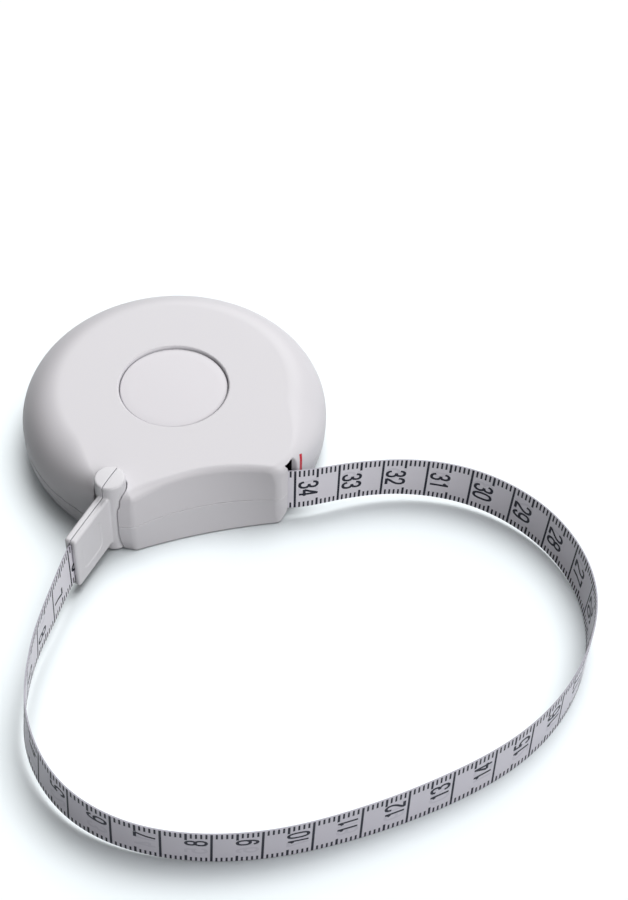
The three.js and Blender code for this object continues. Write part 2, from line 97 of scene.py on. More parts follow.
def natural_spline(t, p):
    """Second derivatives of the natural cubic spline through p at t."""
    n = len(t)
    h = np.diff(t)
    a = np.zeros((n, n))
    rhs = np.zeros((n, p.shape[1]))
    a[0, 0] = a[-1, -1] = 1
    for i in range(1, n - 1):
        a[i, i - 1] = h[i - 1]
        a[i, i] = 2 * (h[i - 1] + h[i])
        a[i, i + 1] = h[i]
        rhs[i] = 6 * ((p[i + 1] - p[i]) / h[i] - (p[i] - p[i - 1]) / h[i - 1])
    return np.linalg.solve(a, rhs)


def spline_eval(t, p, m, x):
    i = np.clip(np.searchsorted(t, x, side="right") - 1, 0, len(t) - 2)
    h = (t[i + 1] - t[i])[:, None]
    a = (t[i + 1] - x)[:, None] / h
    b = (x - t[i])[:, None] / h
    return a * p[i] + b * p[i + 1] + ((a**3 - a) * m[i] + (b**3 - b) * m[i + 1]) * h * h / 6


def pchip(x, y, q):
    """Monotone cubic interpolation."""
    x = np.asarray(x, float)
    y = np.asarray(y, float)
    h = np.diff(x)
    s = np.diff(y) / h
    d = np.zeros(len(x))
    for i in range(1, len(x) - 1):
        if s[i - 1] * s[i] > 0:
            w1 = 2 * h[i] + h[i - 1]
            w2 = h[i] + 2 * h[i - 1]
            d[i] = (w1 + w2) / (w1 / s[i - 1] + w2 / s[i])
    d[0], d[-1] = s[0], s[-1]
    i = np.clip(np.searchsorted(x, q, side="right") - 1, 0, len(x) - 2)
    u = (q - x[i]) / h[i]
    return (
        y[i] * (1 + 2 * u) * (1 - u) ** 2
        + d[i] * h[i] * u * (1 - u) ** 2
        + y[i + 1] * u * u * (3 - 2 * u)
        + d[i + 1] * h[i] * u * u * (u - 1)
    )


# ---------------------------------------------------------------- materials
def principled(name, color, rough, metal=0.0, spec=0.5, coat=0.0, coat_rough=0.2):
    m = bpy.data.materials.new(name)
    m.use_nodes = True
    b = m.node_tree.nodes["Principled BSDF"]
    b.inputs["Base Color"].default_value = (*color, 1)
    b.inputs["Roughness"].default_value = rough
    b.inputs["Metallic"].default_value = metal
    b.inputs["Specular IOR Level"].default_value = spec
    b.inputs["Coat Weight"].default_value = coat
    b.inputs["Coat Roughness"].default_value = coat_rough
    return m, m.node_tree, b


def grain(tree, bsdf, scale, strength, distance, detail=2.0):
    """Fine moulded grain as a bump, from the piece's own coordinates."""
    tc = tree.nodes.new("ShaderNodeTexCoord")
    n = tree.nodes.new("ShaderNodeTexNoise")
    n.inputs["Scale"].default_value = scale
    n.inputs["Detail"].default_value = detail
    bp = tree.nodes.new("ShaderNodeBump")
    bp.inputs["Strength"].default_value = strength
    bp.inputs["Distance"].default_value = distance
    tree.links.new(tc.outputs["Object"], n.inputs["Vector"])
    tree.links.new(n.outputs["Fac"], bp.inputs["Height"])
    tree.links.new(bp.outputs["Normal"], bsdf.inputs["Normal"])


def plastic(name, color, rough, spec=0.45):
    m, tree, b = principled(name, color, rough, spec=spec)
    grain(tree, b, 2600.0, 0.16, 0.00004)
    return m


CASE = plastic("case_plastic", (0.630, 0.622, 0.648), 0.46)
# the lower shell is the same plastic painted a little darker: painted shade on the lower half of the case
CASE_SHADED_LOW = plastic("case_plastic_low_painted_shade", (0.612, 0.608, 0.634), 0.46)
BUTTON = plastic("button_plastic", (0.632, 0.620, 0.650), 0.42)
HANDLE = plastic("handle_plastic", (0.640, 0.638, 0.662), 0.40)
TAPE_BLANK, _t, _b = principled("tape_blank", (0.595, 0.587, 0.655), 0.36, spec=0.45)
# the inner face of the tape is painted lighter than the outer face, and so is the print showing through on it: painted
# light standing in for light thrown back by the floor inside the loop
TAPE_INSIDE_LIT, _t, _b = principled("tape_inside_painted_bounce_light", (0.735, 0.725, 0.785), 0.36, spec=0.45)
TAPE_EDGE, _t, _b = principled("tape_edge", (0.40, 0.395, 0.45), 0.5, spec=0.3)
TAPE_INK, _t, _b = principled("tape_ink", (0.012, 0.013, 0.024), 0.5, spec=0.18)
TAPE_GHOST, _t, _b = principled("tape_show_through", (0.520, 0.515, 0.582), 0.36, spec=0.45)
TAPE_GHOST_IN_LIT, _t, _b = principled("tape_show_inside_painted_bounce_light", (0.645, 0.637, 0.700), 0.36, spec=0.45)
MARK_RED, _t, _b = principled("index_red", (0.50, 0.010, 0.028), 0.5, spec=0.3)
INNER = plastic("inner_plastic", (0.46, 0.48, 0.51), 0.5)
STEEL, _t, _b = principled("steel", (0.55, 0.56, 0.58), 0.28, metal=1.0)
grain(_t, _b, 900.0, 0.10, 0.00003)
SPRING, _t, _b = principled("spring_steel", (0.20, 0.24, 0.31), 0.32, metal=1.0)
grain(_t, _b, 900.0, 0.10, 0.00003)
RUBBER, _t, _b = principled("brake_rubber", (0.02, 0.02, 0.021), 0.85, spec=0.3)
grain(_t, _b, 1800.0, 0.3, 0.00005)


# ---------------------------------------------------------------- mesh helpers
def make_mesh(name, verts_mm, faces, materials, mat_index=None, normals=None, loop_normals=None):
    me = bpy.data.meshes.new(name)
    me.from_pydata((np.asarray(verts_mm, float) * MM).tolist(), [], faces)
    for m in materials:
        me.materials.append(m)
    if mat_index is not None:
        me.polygons.foreach_set("material_index", np.asarray(mat_index, np.int32))
    me.polygons.foreach_set("use_smooth", np.ones(len(me.polygons), bool))
    me.update()
    if loop_normals is not None:
        me.normals_split_custom_set(np.asarray(loop_normals, float).tolist())
    elif normals is not None:
        me.normals_split_custom_set_from_vertices(np.asarray(normals, float).tolist())
    ob = bpy.data.objects.new(name, me)
    coll.objects.link(ob)
    return ob


def surface_net(f, xs, ys, zs):
    """Quads of the zero surface of f over a rectilinear grid, corners set on the surface."""
    X, Y, Z = np.meshgrid(xs, ys, zs, indexing="ij")
    F = f(X.ravel(), Y.ravel(), Z.ravel()).reshape(X.shape).astype(np.float32)
    inside = F < 0
    nx, ny, nz = F.shape
    cells = np.zeros((nx - 1, ny - 1, nz - 1), np.int8)
    for di in (0, 1):
        for dj in (0, 1):
            for dk in (0, 1):
                cells += inside[di : nx - 1 + di, dj : ny - 1 + dj, dk : nz - 1 + dk]
    active = (cells > 0) & (cells < 8)
    ids = np.full(cells.shape, -1, np.int64)
    I, J, K = np.nonzero(active)
    ids[I, J, K] = np.arange(len(I))
    acc = np.zeros((len(I), 3))
    cnt = np.zeros(len(I))
    corners = [(a, b, c) for a in (0, 1) for b in (0, 1) for c in (0, 1)]
    for a in corners:
        for axis in range(3):
            if a[axis]:
                continue
            b = list(a)
            b[axis] = 1
            fa = F[I + a[0], J + a[1], K + a[2]]
            fb = F[I + b[0], J + b[1], K + b[2]]
            cross = (fa < 0) != (fb < 0)
            t = np.where(cross, fa / np.where(cross, fa - fb, 1), 0)
            pa = np.stack([xs[I + a[0]], ys[J + a[1]], zs[K + a[2]]], 1)
            pb = np.stack([xs[I + b[0]], ys[J + b[1]], zs[K + b[2]]], 1)
            acc += np.where(cross[:, None], pa + (pb - pa) * t[:, None], 0)
            cnt += cross
    V = acc / cnt[:, None]
    quads = []
    for axis in range(3):
        sl0 = [slice(None)] * 3
        sl1 = [slice(None)] * 3
        sl0[axis] = slice(0, -1)
        sl1[axis] = slice(1, None)
        s0 = inside[tuple(sl0)]
        s1 = inside[tuple(sl1)]
        i, j, k = np.nonzero(s0 != s1)
        u, v = (axis + 1) % 3, (axis + 2) % 3
        idx = np.stack([i, j, k], 1)
        ok = (idx[:, u] > 0) & (idx[:, v] > 0)
        lim = np.array(cells.shape)
        ok &= (idx[:, u] < lim[u]) & (idx[:, v] < lim[v])
        idx = idx[ok]
        out = s0[i[ok], j[ok], k[ok]]
        du = np.zeros(3, int)
        dv = np.zeros(3, int)
        du[u] = 1
        dv[v] = 1
        a = ids[tuple((idx - du - dv).T)]
        b = ids[tuple((idx - dv).T)]
        c = ids[tuple(idx.T)]
        d = ids[tuple((idx - du).T)]
        q = np.stack([a, b, c, d], 1)
        q[~out] = q[~out][:, ::-1]
        quads.append(q)
    return V, np.concatenate(quads)


def gradient(f, P, e=0.012):
    g = np.empty_like(P)
    for k in range(3):
        d = np.zeros(3)
        d[k] = e
        a = P + d
        b = P - d
        g[:, k] = (f(a[:, 0], a[:, 1], a[:, 2]) - f(b[:, 0], b[:, 1], b[:, 2])) / (2 * e)
    return g


def settle(f, P, steps=3, reach=0.12):
    for _ in range(steps):
        g = gradient(f, P)
        v = f(P[:, 0], P[:, 1], P[:, 2])
        d = g * (v / np.maximum((g * g).sum(1), 0.05))[:, None]
        n = np.linalg.norm(d, axis=1)
        P = P - d * np.minimum(1, reach / np.maximum(n, 1e-9))[:, None]
    return P


def solid_piece(name, f, xs, ys, zs, materials, keep, to_world=None):
    """A piece from a distance function: net, thinned where flat, shaded by the function's own slope."""
    V, Q = surface_net(f, xs, ys, zs)
    V = settle(f, V)
    me = bpy.data.meshes.new(name)
    me.from_pydata(V.tolist(), [], Q.tolist())
    me.update()
    ob = bpy.data.objects.new(name, me)
    coll.objects.link(ob)
    if keep < 1:
        mod = ob.modifiers.new("thin", "DECIMATE")
        mod.ratio = keep
        mod.use_collapse_triangulate = False
        dg = bpy.context.evaluated_depsgraph_get()
        thin = bpy.data.meshes.new_from_object(ob.evaluated_get(dg))
        ob.modifiers.clear()
        ob.data = thin
        bpy.data.meshes.remove(me)
        me = thin
    co = np.zeros(len(me.vertices) * 3)
    me.vertices.foreach_get("co", co)
    P = settle(f, co.reshape(-1, 3), 2, 0.05)
    N = gradient(f, P)
    N /= np.maximum(np.linalg.norm(N, axis=1), 1e-9)[:, None]
    if to_world is not None:
        P, N = to_world(P, N)
    me.vertices.foreach_set("co", (P * MM).ravel())
    me.materials.clear()
    for m in materials:
        me.materials.append(m)
    me.polygons.foreach_set("use_smooth", np.ones(len(me.polygons), bool))
    me.update()
    # a corner's normal is the slope there, unless its face lies well away from it
    fn = np.zeros(len(me.polygons) * 3)
    me.polygons.foreach_get("normal", fn)
    fn = fn.reshape(-1, 3)
    lt = np.zeros(len(me.polygons), np.int32)
    me.polygons.foreach_get("loop_total", lt)
    lv = np.zeros(len(me.loops), np.int32)
    me.loops.foreach_get("vertex_index", lv)
    ln = N[lv]
    lf = np.repeat(fn, lt, axis=0)
    off = (ln * lf).sum(1) < 0.72
    ln[off] = lf[off]
    me.normals_split_custom_set(ln.tolist())
    return ob


def grid(*parts):
    """Coordinates from (start, end, step) stretches that follow each other."""
    out = [parts[0][0]]
    for a, b, s in parts:
        n = max(1, int(round((b - a) / s)))
        out.extend((a + (b - a) * (i + 1) / n) for i in range(n))
    return np.array(out)


# ---------------------------------------------------------------- driving dimensions (mm), as in the CAD source
PEG = np.array([-19.7, -25.95])
PEG_R = 3.45
PEG_H = 21.3
SOCKET_R = 3.62
PADDLE_LEN = 17.0
PD = np.array([math.cos(math.radians(-131.6)), math.sin(math.radians(-131.6))])
PN = np.array([-PD[1], PD[0]])
SD = np.array([math.cos(math.radians(-22)), math.sin(math.radians(-22))])
SN = np.array([-SD[1], SD[0]])
SLOT_MID = np.array([19.0, -28.45])
CASE_H = 18.4
SEAM_Z = 8.2
SEAM_GAP = 0.12
WALL = 1.7
TAPE_W = 12.5
TAPE_T = 0.3
BUTTON_R = 12.34
HOLE_R = 12.5


MOUTH = np.array([math.cos(math.radians(-132.5)), math.sin(math.radians(-132.5))])
MOUTH_LEFT, MOUTH_RIGHT = 2.4, 2.12


def hp(d, o):
    return PEG + PD * d + PN * o


def slot_point(d, o):
    return SLOT_MID + SD * d + SN * o


# ---------------------------------------------------------------- case
def envelope(x, y, z, inset=0.0):
    r = np.hypot(x, y)
    psi = np.degrees(np.arccos(np.clip(-y / np.maximum(r, 1e-6), -1, 1)))
    s = smooth((psi - 32) / 38)
    low_s = smooth((psi - 28.5) / 10)
    R = mix(np.where(x < 0, 35.75, 35.2), 35.0, smooth((psi - 40) / 14)) - inset
    sa = np.maximum(0.6, mix(2.1, 9.3, s) - inset * 0.55)
    sb = np.maximum(0.6, mix(2.3, 9.2, s) - inset)
    ua = np.maximum(0.4, mix(0.5, 3.7, low_s) - inset * 0.4)
    ub = np.maximum(0.4, mix(0.8, 8.0, low_s) - inset)
    z0, z1 = inset, CASE_H - inset

    def corner(q1, q2, a, b, flat):
        u = np.maximum(q1, 1e-9) / a
        v = np.maximum(q2, 1e-9) / b
        k = np.sqrt(u * u + v * v)
        g = np.sqrt((u / a) ** 2 + (v / b) ** 2) / k
        return np.where((q1 > 0) & (q2 > 0), (k - 1) / g, flat)

    top = corner(r - R + sa, z - z1 + sb, sa, sb, np.maximum(r - R, z - z1))
    low = corner(r - R + ua, z0 + ub - z, ua, ub, np.maximum(r - R, z0 - z))
    return np.maximum(top, low)


def quad3(z, a, b, c):
    """Through a at z 0, b at 9 and c at 17.2."""
    zz = np.clip(z, -1, 18.6)
    l0 = (zz - 9) * (zz - 17.2) / (9 * 17.2)
    l1 = zz * (zz - 17.2) / (9 * (9 - 17.2))
    l2 = zz * (zz - 9) / (17.2 * (17.2 - 9))
    return a * l0 + b * l1 + c * l2


def front_plane(x, y, z):
    y0 = quad3(z, -30.56, -30.7, -30.7)
    sag = quad3(z, 0.95, 2.55, 3.7)
    bow = (y0 + sag * (1 - (x / 16.4) ** 2) - y) / np.sqrt(1 + (2 * sag * x / 16.4**2) ** 2)
    # flat beside the socket, drawn in at its foot
    foot = 1.1 - 1.1 * np.sqrt(1.0 - np.clip((6.0 - z) / 6.0, 0, 1) ** 2)
    left = (-30.6 + 0.28 * (-x - 16.15) + foot * smooth((-14.5 - x) / 4.0) - y) / 1.0385
    return smax(bow, left, 0.4)


def cavity(x, y, z):
    base = np.maximum(envelope(x, y, z, WALL), -24.9 - y)
    boss = np.hypot(x - PEG[0], y - PEG[1]) - 5.3
    px, py = x - SLOT_MID[0], y - SLOT_MID[1]
    d = px * SD[0] + py * SD[1]
    o = px * SN[0] + py * SN[1]
    walls = np.maximum(np.maximum(-11.5 - d, d - 6), np.maximum(-2.34 - o, o + 0.74))
    base = np.maximum(np.maximum(base, -boss), -walls)
    room = np.maximum(np.hypot(x, y) - 22.4, np.maximum(WALL - z, z - (CASE_H - WALL)))
    return np.maximum(np.minimum(base, room), -boss)


def body(x, y, z):
    soft = mix(mix(0.45, 0.8, smooth((z - 0.5) / 3)), mix(2.4, 1.35, smooth((x + 15) / 9)), smooth((z - 13) / 4))
    f = smax(envelope(x, y, z), front_plane(x, y, z), soft)
    # socket of the peg, open outwards as wide as the paddle needs
    dx, dy = x - PEG[0], y - PEG[1]
    along = dx * MOUTH[0] + dy * MOUTH[1]
    across = -dx * MOUTH[1] + dy * MOUTH[0]
    foot = 1.0 - np.sqrt(1.0 - np.clip((7.5 - z) / 7.5, 0, 1) ** 2)
    lips = np.maximum(across - MOUTH_RIGHT - 1.1 * foot, -across - MOUTH_LEFT)
    hole = smin(np.hypot(dx, dy) - SOCKET_R, np.maximum(lips, -along), 0.25)
    f = smax(f, -hole, 0.16)
    px, py = x - SLOT_MID[0], y - SLOT_MID[1]
    d = px * SD[0] + py * SD[1]
    o = px * SN[0] + py * SN[1]
    # exit slot through the wall, and the pocket behind it
    slot = np.maximum(np.maximum(np.maximum(o - 1.9, -0.74 - o), -15.5 - d), np.maximum(1.9 - z, z - 17.6))
    pocket = np.maximum(np.maximum(np.maximum(o - 5.5, -0.74 - o), -13 - d), np.maximum(1.9 - z, z - 16.7))
    pocket = np.maximum(pocket, np.hypot(x, y) - 33.95)
    f = smax(f, -smin(slot, pocket, 0.05), np.where(o < 0.6, 0.11, 0.25))
    return np.maximum(f, -cavity(x, y, z))


def upper_f(x, y, z):
    f = body(x, y, z)
    rho = np.hypot(x, y)
    well = np.maximum(rho - HOLE_R, 14.4 - z)
    f = smax(f, -well, 0.34)
    return smax(f, SEAM_Z + SEAM_GAP - z, 0.10)


def lower_f(x, y, z):
    f = smax(body(x, y, z), z - SEAM_Z, 0.10)
    rho = np.hypot(x, y)
    boss = np.maximum(np.maximum(3.1 - rho, rho - 4.6), np.maximum(WALL - 0.3 - z, z - WALL - 0.35))
    return np.minimum(f, boss)


fine = 0.34
XS = grid((-36.2, -24.6, 0.55), (-24.6, -14.0, 0.30), (-14.0, 14.0, fine), (14.0, 24.8, 0.30), (24.8, 36.2, 0.55))
YS = grid((-36.2, -24.0, 0.30), (-24.0, -13.5, 0.5), (-13.5, 13.5, fine), (13.5, 36.2, 0.55))
upper = solid_piece(
    "upper_shell_skin", upper_f, XS, YS,
    grid((8.12, 8.32, 0.1), (8.32, 8.62, 0.1), (8.62, 9.2, 0.29), (9.2, 16.2, 0.5), (16.2, 18.7, 0.25)),
    [CASE], 0.42,
)
# the lower shell takes the darker copy of the case plastic, as painted shade
lower = solid_piece(
    "lower_shell_skin", lower_f, XS, YS,
    grid((-0.3, 2.6, 0.26), (2.6, 7.4, 0.48), (7.4, 7.9, 0.25), (7.9, 8.4, 0.1)),
    [CASE_SHADED_LOW], 0.42,
)
for ob, node in ((upper, "upper_shell"), (lower, "lower_shell")):
    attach(ob, "case")
    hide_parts(node)


# ---------------------------------------------------------------- handle
def handle_f(d, o, z):
    rho = np.hypot(d, o)
    top = PEG_H - 0.010 * rho * rho
    peg = smax(smax(rho - PEG_R, z - top, 0.5), 0.05 - z, 0.95)
    # shallow panel on both faces
    qx = np.abs(d - 10.8) - 3.9
    qz = np.abs(z - 10.5) - 4.3
    r = 1.6
    pr = np.hypot(np.maximum(qx + r, 0), np.maximum(qz + r, 0)) + np.minimum(np.maximum(qx + r, qz + r), 0) - r
    deep = 0.16 * smooth((-pr + 0.12) / 0.4)
    half = 1.4 - deep
    a = np.abs(o) - half
    pad = smax(smax(a, np.abs(z - 10.5) - 7.5, 0.55), d - PADDLE_LEN, 0.6)
    pad = np.maximum(pad, -d)
    f = smin(peg, pad, 0.35)
    bore = np.maximum(rho - 0.88, np.maximum(1.4 - z, z - 19.4))
    loop = np.maximum(rho - 1.75, np.maximum(3.9 - z, z - 17.1))
    room = np.maximum(np.maximum(np.abs(o) - 0.42, -d), np.maximum(3.9 - z, z - 17.1))
    room = np.minimum(room, np.maximum(np.maximum(np.abs(o) - 1.05, np.maximum(-d, d - 3.4)), np.maximum(3.9 - z, z - 17.1)))
    f = np.maximum(f, -bore)
    f = np.maximum(f, -loop)
    return smax(f, -room, 0.12)


def handle_world(P, N):
    W = np.empty_like(P)
    W[:, 0] = PEG[0] + PD[0] * P[:, 0] + PN[0] * P[:, 1]
    W[:, 1] = PEG[1] + PD[1] * P[:, 0] + PN[1] * P[:, 1]
    W[:, 2] = P[:, 2]
    M = np.empty_like(N)
    M[:, 0] = PD[0] * N[:, 0] + PN[0] * N[:, 1]
    M[:, 1] = PD[1] * N[:, 0] + PN[1] * N[:, 1]
    M[:, 2] = N[:, 2]
    return W, M


DS = grid((-3.9, 4.2, 0.2), (4.2, 16.3, 0.3), (16.3, 17.6, 0.13))
ZH = grid((-0.2, 3.9, 0.2), (3.9, 17.1, 0.33), (17.1, 21.3, 0.15))
OF = grid((-0.02, 0.7, 0.08), (0.7, 1.6, 0.12), (1.6, 3.9, 0.2))
front = solid_piece(
    "handle_front_half_skin", lambda d, o, z: smax(handle_f(d, o, z), 0.07 - o, 0.16),
    DS, OF, ZH, [HANDLE], 0.5, handle_world,
)
rear = solid_piece(
    "handle_rear_half_skin", lambda d, o, z: smax(handle_f(d, o, z), o + 0.07, 0.16),
    DS, -OF[::-1], ZH, [HANDLE], 0.5, handle_world,
)
for ob, node in ((front, "handle_front_half"), (rear, "handle_rear_half")):
    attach(ob, "handle")
    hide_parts(node)


# ---------------------------------------------------------------- button
def turned(profile, seg):
    """Closed ring of a profile turned round the axis; profile corners with r 0 are single points."""
    verts, rows = [], []
    for r, z in profile:
        if r < 1e-6:
            rows.append([len(verts)])
            verts.append((0, 0, z))
        else:
            rows.append(list(range(len(verts), len(verts) + seg)))
            verts.extend((r * math.cos(2 * math.pi * i / seg), r * math.sin(2 * math.pi * i / seg), z) for i in range(seg))
    faces = []
    for a, b in zip(rows, rows[1:]):
        for i in range(seg):
            j = (i + 1) % seg
            if len(a) == 1 and len(b) == 1:
                continue
            if len(a) == 1:
                faces.append((a[0], b[j], b[i]))
            elif len(b) == 1:
                faces.append((a[i], a[j], b[0]))
            else:
                faces.append((a[i], a[j], b[j], b[i]))
    return verts, faces


def add_part(verts, faces, v, f):
    n = len(verts)
    verts.extend(v)
    faces.extend(tuple(i + n for i in q) for q in f)


def sector(r0, r1, a0, a1, z0, z1, n=8):
    v = []
    for z in (z0, z1):
        for r in (r0, r1):
            v.extend((r * math.cos(math.radians(a0 + (a1 - a0) * i / n)), r * math.sin(math.radians(a0 + (a1 - a0) * i / n)), z) for i in range(n + 1))
    m = n + 1
    f = []
    for i in range(n):
        f.append((i, i + 1, m + i + 1, m + i))
        f.append((2 * m + i, 3 * m + i, 3 * m + i + 1, 2 * m + i + 1))
        f.append((i, 2 * m + i, 2 * m + i + 1, i + 1))
        f.append((m + i, m + i + 1, 3 * m + i + 1, 3 * m + i))
    f.append((0, m, 3 * m, 2 * m))
    f.append((n, 2 * m + n, 3 * m + n, m + n))
    return v, f


bv, bf = [], []
edge = [(BUTTON_R - 0.38 + 0.38 * math.cos(t), 17.42 + 0.38 * math.sin(t)) for t in np.linspace(0, math.pi / 2, 6)]
prof = [(0, 16.2), (4.9, 16.2), (4.9, 14.9), (5.7, 14.9), (5.7, 16.2), (11.2, 16.2), (11.2, 15.8), (13.2, 15.8), (13.2, 16.4), (BUTTON_R, 16.4), *edge,
        (10.0, 17.83), (6.0, 17.89), (2.5, 17.92), (0, 17.92)]
add_part(bv, bf, *turned(prof, 144))
for k in range(3):
    a = 90 + k * 120
    add_part(bv, bf, *sector(10.0, 11.1, a - 16, a + 16, 11.9, 16.3))
    add_part(bv, bf, *sector(10.05, 12.9, a - 15.9, a + 15.9, 11.95, 12.5))
button = make_mesh("push_button_skin", bv, bf, [BUTTON])
bm = bmesh.new()
bm.from_mesh(button.data)
bmesh.ops.recalc_face_normals(bm, faces=bm.faces)
for e in bm.edges:
    if len(e.link_faces) == 2 and e.calc_face_angle() > math.radians(32):
        e.smooth = False
bm.to_mesh(button.data)
bm.free()
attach(button, "button")
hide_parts("push_button")

# ---------------------------------------------------------------- tape: route
# inner reading, plan position of the middle line, height of the lower edge, lean of the upper edge
LOOP = [
    (60, -31.88, -39.85, 4.2, 0.0, 0.0), (70, -37.15, -48.45, 4.2, 0.4, -0.2), (80, -42.2, -56.9, 4.05, 0.9, -0.5),
    (90, -46.0, -66.1, 3.65, 1.15, -0.6), (100, -47.95, -75.6, 3.0, 1.2, -0.65), (120, -42.42, -94.28, 1.3, 0.5, -0.95),
    (140, -26.55, -106.55, 0.3, 0.05, -1.35), (160, -7.44, -111.83, 0.1, 0.05, -1.2), (180, 12.45, -112.22, 0.05, 0.05, -0.6),
    (200, 32.1, -109.5, 0.05, 0.0, -0.1), (220, 51.0, -103.0, 0.05, -0.05, 0.0), (240, 66.4, -90.35, 0.1, 0.1, -0.1),
    (260, 74.75, -72.45, 0.25, 0.7, -0.3), (280, 72.2, -52.35, 0.55, 0.8, -0.4), (300, 59.65, -36.78, 1.3, 0.4, -0.6),
    (320, 41.02, -29.75, 2.3, 0.15, -0.8), (330, 30.95, -29.4, 2.8, 0.1, -0.4), (340, 20.92, -29.37, 3.15, 0.0, 0.0),
]
ROUND = [(2.9, -0.55), (1.9, -0.8), (0.9, -1.05), (0.1, -1.22), (-0.65, -1.03), (-1.15, -0.4), (-1.15, 0.4), (-0.65, 1.03),
         (0.1, 1.22), (0.9, 0.95), (1.9, 0.45), (2.9, 0.1), (3.8, 0), (8, 0), (12, 0), (16, 0)]


class Route:
    """The tape's route by reading: middle of the lower edge, vector to the upper edge, outward normal."""

    def __init__(self, pts, known, lean, fixed_before=None):
        P = np.array(pts, float)
        t = np.concatenate([[0], np.cumsum(np.linalg.norm(np.diff(P, axis=0), axis=1))])
        M = natural_spline(t, P)
        tt = np.linspace(0, t[-1], 6001)
        D = spline_eval(t, P, M, tt)
        arc = np.concatenate([[0], np.cumsum(np.linalg.norm(np.diff(D, axis=0), axis=1))])
        at_node = np.interp(t, tt, arc)
        ki = [i for i, _ in known]
        kr = np.array([r for _, r in known], float)
        ka = at_node[ki]
        # readings outside the known stretch run on with the tape's own length
        inner = (arc >= ka[0]) & (arc <= ka[-1])
        read = np.where(arc < ka[0], kr[0] - (ka[0] - arc), kr[-1] + (arc - ka[-1]))
        read[inner] = pchip(ka, kr, arc[inner])
        self.s = read
        self.P = D
        lr = np.array([l[0] for l in lean], float)
        lx = pchip(lr, np.array([l[1] for l in lean], float), np.clip(read, lr[0], lr[-1]))
        ly = pchip(lr, np.array([l[2] for l in lean], float), np.clip(read, lr[0], lr[-1]))
        self.U = np.stack([lx, ly, np.sqrt(TAPE_W**2 - lx * lx - ly * ly)], 1)
        T = np.gradient(D, arc, axis=0)
        N = np.cross(T, self.U)
        self.N = N / np.linalg.norm(N, axis=1)[:, None]

    def at(self, s, what):
        return np.stack([np.interp(s, self.s, what[:, k]) for k in range(3)], -1)

    def point(self, s, h, side):
        s = np.asarray(s, float)
        h = np.asarray(h, float)
        return self.at(s, self.P) + self.at(s, self.U) * (h / TAPE_W)[..., None] + self.at(s, self.N) * (np.asarray(side) * TAPE_T / 2)[..., None]


pts = [(*hp(d, o), 4.25) for d, o in ROUND] + [(*hp(17.3, 0), 4.24)] + [l[1:4] for l in LOOP]
first = len(ROUND) + 1
n_loop = len(pts)
pts += [(*slot_point(0.1, -0.50), 3.2), (*slot_point(-2.5, -0.40), 3.2), (*slot_point(-6, -0.12), 3.2), (*slot_point(-12, 0), 3.2),
        (*slot_point(-20, 0), 3.2), (*slot_point(-27.2, 0), 3.2)]
route = Route(
    pts,
    [(first + i, l[0]) for i, l in enumerate(LOOP)],
    [(l[0], l[4], l[5]) for l in LOOP],
)


def reading_at(xy):
    d = np.hypot(route.P[:, 0] - xy[0], route.P[:, 1] - xy[1])
    far = np.arange(len(d)) > len(d) // 2
    return float(route.s[np.argmin(np.where(far, d, 1e9))])


S_START = float(route.s[0])
S_SPLIT = 150.0
S_MOUTH = reading_at(slot_point(0.03, -0.5))
S_LEAD = reading_at(slot_point(-0.03, -0.5))
S_COIL = float(route.s[-1])
print("readings", S_START, S_MOUTH, S_COIL)


# ---------------------------------------------------------------- tape: numerals
def ellipse(cx, cy, rx, ry, n=22, p=1.0):
    out = []
    for i in range(n):
        a = 2 * math.pi * i / n
        c, s = math.cos(a), math.sin(a)
        out.append((cx + rx * math.copysign(abs(c) ** p, c), cy + ry * math.copysign(abs(s) ** p, s)))
    return ("ring", out)


def line(*p):
    return ("line", list(p))


SIX = [line((0.93, 0.80), (0.86, 0.91), (0.72, 0.98), (0.52, 1.0), (0.30, 0.95), (0.13, 0.80), (0.04, 0.58), (0.02, 0.34)),
       ellipse(0.5, 0.315, 0.48, 0.315, 22, 0.85)]
GLYPHS = {
    "0": [ellipse(0.5, 0.5, 0.5, 0.5, 26, 0.78)],
    "1": [line((0.62, -0.02), (0.62, 1.02)), line((0.64, 1.0), (0.46, 0.84), (0.22, 0.76))],
    "2": [line((0.03, 0.70), (0.08, 0.86), (0.24, 0.97), (0.5, 1.0), (0.76, 0.97), (0.93, 0.86), (0.97, 0.72), (0.90, 0.57), (0.70, 0.41), (0.38, 0.24), (0.14, 0.11), (0.02, -0.02)),
          line((-0.04, 0.0), (1.02, 0.0))],
    "3": [line((0.03, 0.76), (0.10, 0.90), (0.26, 0.98), (0.5, 1.0), (0.74, 0.97), (0.90, 0.87), (0.93, 0.75), (0.86, 0.62), (0.66, 0.545), (0.38, 0.535)),
          line((0.38, 0.535), (0.70, 0.515), (0.92, 0.41), (0.98, 0.27), (0.90, 0.11), (0.70, 0.015), (0.46, 0.0), (0.22, 0.03), (0.06, 0.12), (0.0, 0.25))],
    "4": [line((0.74, 1.02), (0.0, 0.27)), line((-0.06, 0.27), (1.04, 0.27)), line((0.74, 1.04), (0.74, -0.03))],
    "5": [line((0.93, 1.0), (0.14, 1.0)), line((0.18, 1.02), (0.09, 0.50)),
          line((0.09, 0.50), (0.26, 0.61), (0.50, 0.65), (0.77, 0.60), (0.95, 0.46), (0.99, 0.30), (0.90, 0.12), (0.70, 0.015), (0.46, 0.0), (0.22, 0.03), (0.06, 0.12), (0.0, 0.24))],
    "6": SIX,
    "7": [line((-0.04, 1.0), (1.04, 1.0)), line((0.98, 1.0), (0.74, 0.72), (0.54, 0.42), (0.42, -0.03))],
    "8": [ellipse(0.5, 0.765, 0.42, 0.235, 20, 0.9), ellipse(0.5, 0.275, 0.48, 0.275, 22, 0.9)],
    "9": [(k, [(1 - x, 1 - y) for x, y in p]) for k, p in SIX],
}
DIGIT_W, DIGIT_H, STROKE = 2.62, 4.65, 0.66


